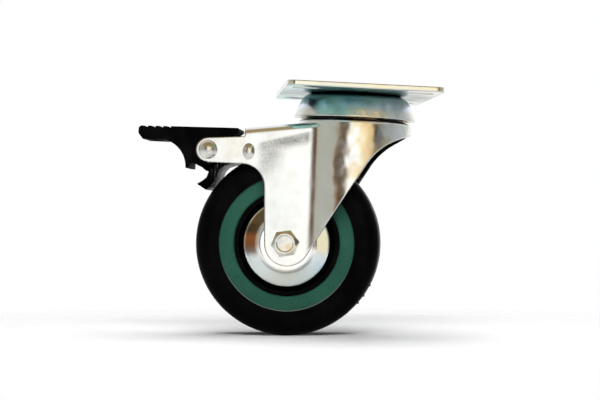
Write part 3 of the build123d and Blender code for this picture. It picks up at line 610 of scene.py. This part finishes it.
def cover_finish():
    """The dust covers: painted reflection makes the cone greyer low down, banded in browns on its left side, and
    bluer towards its right.
    """
    made = zinc_sheet("cover_zinc", [
        (0.28, (0.74, 0.81, 0.85)),
        (0.46, (0.82, 0.86, 0.88)),
        (0.60, (0.86, 0.86, 0.85)),
        (0.74, (0.86, 0.82, 0.72)),
    ], rough=(0.08, 0.16))
    cone = made.off_axle(0.0112, 0.0120)
    # painted reflection: the cone is greyer low down
    low = made.short_of((0, 0, 1), -0.073, -0.066)
    made.tint(made.both(cone, low), (0.72, 0.78, 0.77))
    right = tuple(fork_right)
    # painted reflection: bands of browns across the cone's left side
    left = made.both(cone, made.short_of(right, -0.0385, -0.0335))
    wavering = made.scaled(made.noise(110, 4), 0.20, made.along((0, 0, 1), -0.0725, -0.0530))
    reflection_bands = colour_ramp(made.tree, math_node(made.tree, "SUBTRACT", wavering, 0.10), [
        (0.04, (1.00, 1.00, 1.00)),
        (0.15, (0.44, 0.40, 0.38)),
        (0.34, (0.80, 0.46, 0.30)),
        (0.58, (1.00, 0.55, 0.32)),
        (0.76, (0.34, 0.32, 0.28)),
        (0.88, (0.46, 0.40, 0.30)),
        (0.97, (1.00, 0.90, 0.66)),
    ])
    made.tint(left, reflection_bands)
    # painted reflection: the cone is bluer towards its right
    made.tint(made.both(cone, made.along(right, -0.0150, -0.0110)), (0.84, 0.92, 1.0))
    return made.material


cover_zinc = cover_finish()
finishes = {
    "zinc_fastener": zinc_fastener(),
    "bearing_steel": bearing_steel(),
    "tyre_rubber": tyre_rubber(),
    "green_plastic": green_plastic(),
    "black_plastic": black_plastic(),
    "nylon": nylon(),
    "spring_steel": spring_steel(),
}
sheet_finishes = {
    "mounting_plate": plate_finish(),
    "upper_race_cup": cup_finish(),
    "fork": fork_finish(),
    "dust_cover_near": cover_zinc,
    "dust_cover_far": cover_zinc,
}

# ---------------------------------------------------------------- the CAD pieces' finish

slots = {part["node"]: part["material_slot"] for part in frame["record"]["subparts"]}
for name, node in frame["nodes"].items():
    mesh = node.data
    mesh.materials.clear()
    mesh.materials.append(sheet_finishes.get(name) or finishes[slots[name]])
    mesh.polygons.foreach_set("use_smooth", [True] * len(mesh.polygons))
    mesh.set_sharp_from_angle(angle=radians(32))

# ---------------------------------------------------------------- the axle bolt, its dished head and thread

# points round a turned piece, and thread rings in one pitch
ROUND = 96
THREAD_STEPS = 10

BOLT_R = 0.0030
HEAD_HEIGHT = 0.0040
HEAD_FLAT = 0.0050
FACE_R = 0.0040
DISH_DEPTH = 0.00035
THREAD_PITCH = 0.0010
THREAD_DEPTH = 0.00050
THREAD_LENGTH = 0.0125
THREAD_POINT = 0.0003


def lofted(name, rows):
    """A closed piece through rows of points that all go round the same way."""
    mesh = bmesh.new()
    rings = [[mesh.verts.new(point) for point in row] for row in rows]
    count = len(rows[0])
    for inner, outer in zip(rings, rings[1:]):
        for i in range(count):
            j = (i + 1) % count
            mesh.faces.new((inner[i], inner[j], outer[j], outer[i]))
    mesh.faces.new(list(reversed(rings[0])))
    mesh.faces.new(rings[-1])
    bmesh.ops.recalc_face_normals(mesh, faces=mesh.faces)
    data = bpy.data.meshes.new(name)
    mesh.to_mesh(data)
    mesh.free()
    made = bpy.data.objects.new(name, data)
    bpy.context.scene.collection.objects.link(made)
    return made


def turned(name, centre, rings):
    """A closed piece along the axle's line from rings, each a function of angle giving radius and place."""
    rows = []
    for ring in rings:
        row = []
        for i in range(ROUND):
            angle = 2 * pi * i / ROUND + head_turn
            radius, along = ring(angle)
            outward = fork_right * cos(angle) + up * sin(angle)
            row.append(centre + outward * radius + axle_across * along)
        rows.append(row)
    return lofted(name, rows)


def finish_piece(piece, material, sharp_angle):
    """Give a scene piece its material, shaded smooth but for edges sharper than an angle in degrees."""
    piece.data.materials.append(material)
    piece.data.polygons.foreach_set("use_smooth", [True] * len(piece.data.polygons))
    piece.data.set_sharp_from_angle(angle=radians(sharp_angle))


bolt_points = [vertex.co - wheel_centre for vertex in frame["nodes"]["axle_bolt"].data.vertices]
bolt_near = min(point.dot(axle_across) for point in bolt_points)
bolt_far = max(point.dot(axle_across) for point in bolt_points)
corner = max(bolt_points, key=lambda point: (point - axle_across * point.dot(axle_across)).length)
head_turn = atan2(corner.dot(up), corner.dot(fork_right))


def hex_r(angle):
    """A hexagon's radius at an angle, with a corner at the head's turn."""
    from_flat = (angle - head_turn) % (pi / 3) - pi / 6
    return HEAD_FLAT / cos(from_flat)


def level(radius, along):
    return lambda angle: (radius, along)


def thread(along):
    """A ring of the thread's helix."""
    def ring(angle):
        turn = (along / THREAD_PITCH - angle / (2 * pi)) % 1
        crest = 1 - abs(2 * turn - 1)
        return BOLT_R - THREAD_DEPTH * (1 - min(1, max(0, crest * 1.3 - 0.15))), along
    return ring


head_seat = bolt_near + HEAD_HEIGHT
bolt_rings = [
    level(0.0002, bolt_near + DISH_DEPTH),
    level(FACE_R - 0.00105, bolt_near + DISH_DEPTH),
    level(FACE_R - 0.00095, bolt_near + DISH_DEPTH),
    level(FACE_R - 0.00060, bolt_near + 0.00010),
    level(FACE_R - 0.00045, bolt_near),
    level(FACE_R - 0.00005, bolt_near),
    level(FACE_R, bolt_near),
    lambda angle: (hex_r(angle), bolt_near + (hex_r(angle) - FACE_R) * tan(radians(30))),
    lambda angle: (hex_r(angle), head_seat),
    level(BOLT_R, head_seat),
    level(BOLT_R, bolt_far - THREAD_LENGTH),
]
thread_rows = int((THREAD_LENGTH - 2 * THREAD_POINT) / THREAD_PITCH * THREAD_STEPS)
for row in range(thread_rows):
    bolt_rings.append(thread(bolt_far - THREAD_LENGTH + (row + 1) * THREAD_PITCH / THREAD_STEPS))
bolt_rings.append(level(BOLT_R - THREAD_DEPTH, bolt_far - THREAD_POINT))
bolt_rings.append(level(BOLT_R - THREAD_DEPTH - THREAD_POINT, bolt_far))
bolt = turned("threaded_axle_bolt", wheel_centre, bolt_rings)
finish_piece(bolt, finishes["zinc_fastener"], sharp_angle=25)
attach(bolt, "swivel_fork")
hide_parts("axle_bolt")

# ---------------------------------------------------------------- the shoe pin, with its staked oval heads

PIN_R = 0.0018
PIN_HEAD = 0.0011
PIN_DROP = 0.0009
# share of the oval and depth under its top, from the top's middle out
STAKED = (
    (0.05, 0.0),
    (0.34, 0.00002),
    (0.46, 0.00010),
    (0.74, 0.00052),
    (0.93, 0.00080),
    (1.0, 0.00094),
    (1.0, PIN_HEAD),
)

pin_points = [vertex.co for vertex in frame["nodes"]["shoe_pin"].data.vertices]
pin_near = min(point.dot(axle_across) for point in pin_points)
pin_far = max(point.dot(axle_across) for point in pin_points)
head_points = [point for point in pin_points if point.dot(axle_across) < pin_near + 0.9 * PIN_HEAD]
head_wide = [end(point.dot(fork_right) for point in head_points) for end in (min, max)]
head_tall = [end(point.z for point in head_points) for end in (min, max)]
pin_wide = (head_wide[1] - head_wide[0]) / 2
pin_tall = (head_tall[1] - head_tall[0]) / 2
pin_centre = fork_right * sum(head_wide) / 2 + up * sum(head_tall) / 2


def oval(share, along):
    """A ring of a pin head's oval."""
    def ring(angle):
        return share * pin_wide * pin_tall / hypot(pin_tall * cos(angle), pin_wide * sin(angle)), along
    return ring


def shank(along):
    """A ring of the pin's shank, which stands above the middle of its heads."""
    def ring(angle):
        return PIN_DROP * sin(angle) + sqrt(PIN_R ** 2 - (PIN_DROP * cos(angle)) ** 2), along
    return ring


pin_rings = [oval(share, pin_near + depth) for share, depth in STAKED]
pin_rings += [shank(pin_near + PIN_HEAD), shank(pin_far - PIN_HEAD)]
pin_rings += [oval(share, pin_far - depth) for share, depth in reversed(STAKED)]
pin = turned("staked_shoe_pin", pin_centre, pin_rings)
finish_piece(pin, finishes["zinc_fastener"], sharp_angle=40)
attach(pin, "swivel_fork")
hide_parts("shoe_pin")

# ---------------------------------------------------------------- moulding nubs left on the tread

NUB_ANGLES = (-24.8, -32.4, -38.1)
NUB_R = 0.00055
NUB_HEIGHT = 0.0005
NUB_ASIDE = 0.001
NUB_ROUND = 16
# share of the nub's radius, and height as a share of the whole
NUB_PROFILE = ((1.0, -0.5), (1.0, 0.0), (0.8, 0.5), (0.45, 0.85), (0.12, 1.0))


def make_nub(number, angle):
    """A small spew of rubber standing out of the tread, on a foot sunk in it."""
    outward = fork_right * cos(angle) + up * sin(angle)
    sideways = outward.cross(axle_across)
    foot = wheel_centre + outward * tyre_r - axle_across * NUB_ASIDE
    turns = [2 * pi * i / NUB_ROUND for i in range(NUB_ROUND)]
    spokes = [(sideways * cos(turn) + axle_across * sin(turn)) * NUB_R for turn in turns]
    rows = [[foot + outward * NUB_HEIGHT * height + spoke * share for spoke in spokes]
            for share, height in NUB_PROFILE]
    nub = lofted("tyre_nub_%d" % number, rows)
    finish_piece(nub, finishes["tyre_rubber"], sharp_angle=50)
    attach(nub, "wheel")


for number, angle in enumerate(NUB_ANGLES, 1):
    make_nub(number, radians(angle))
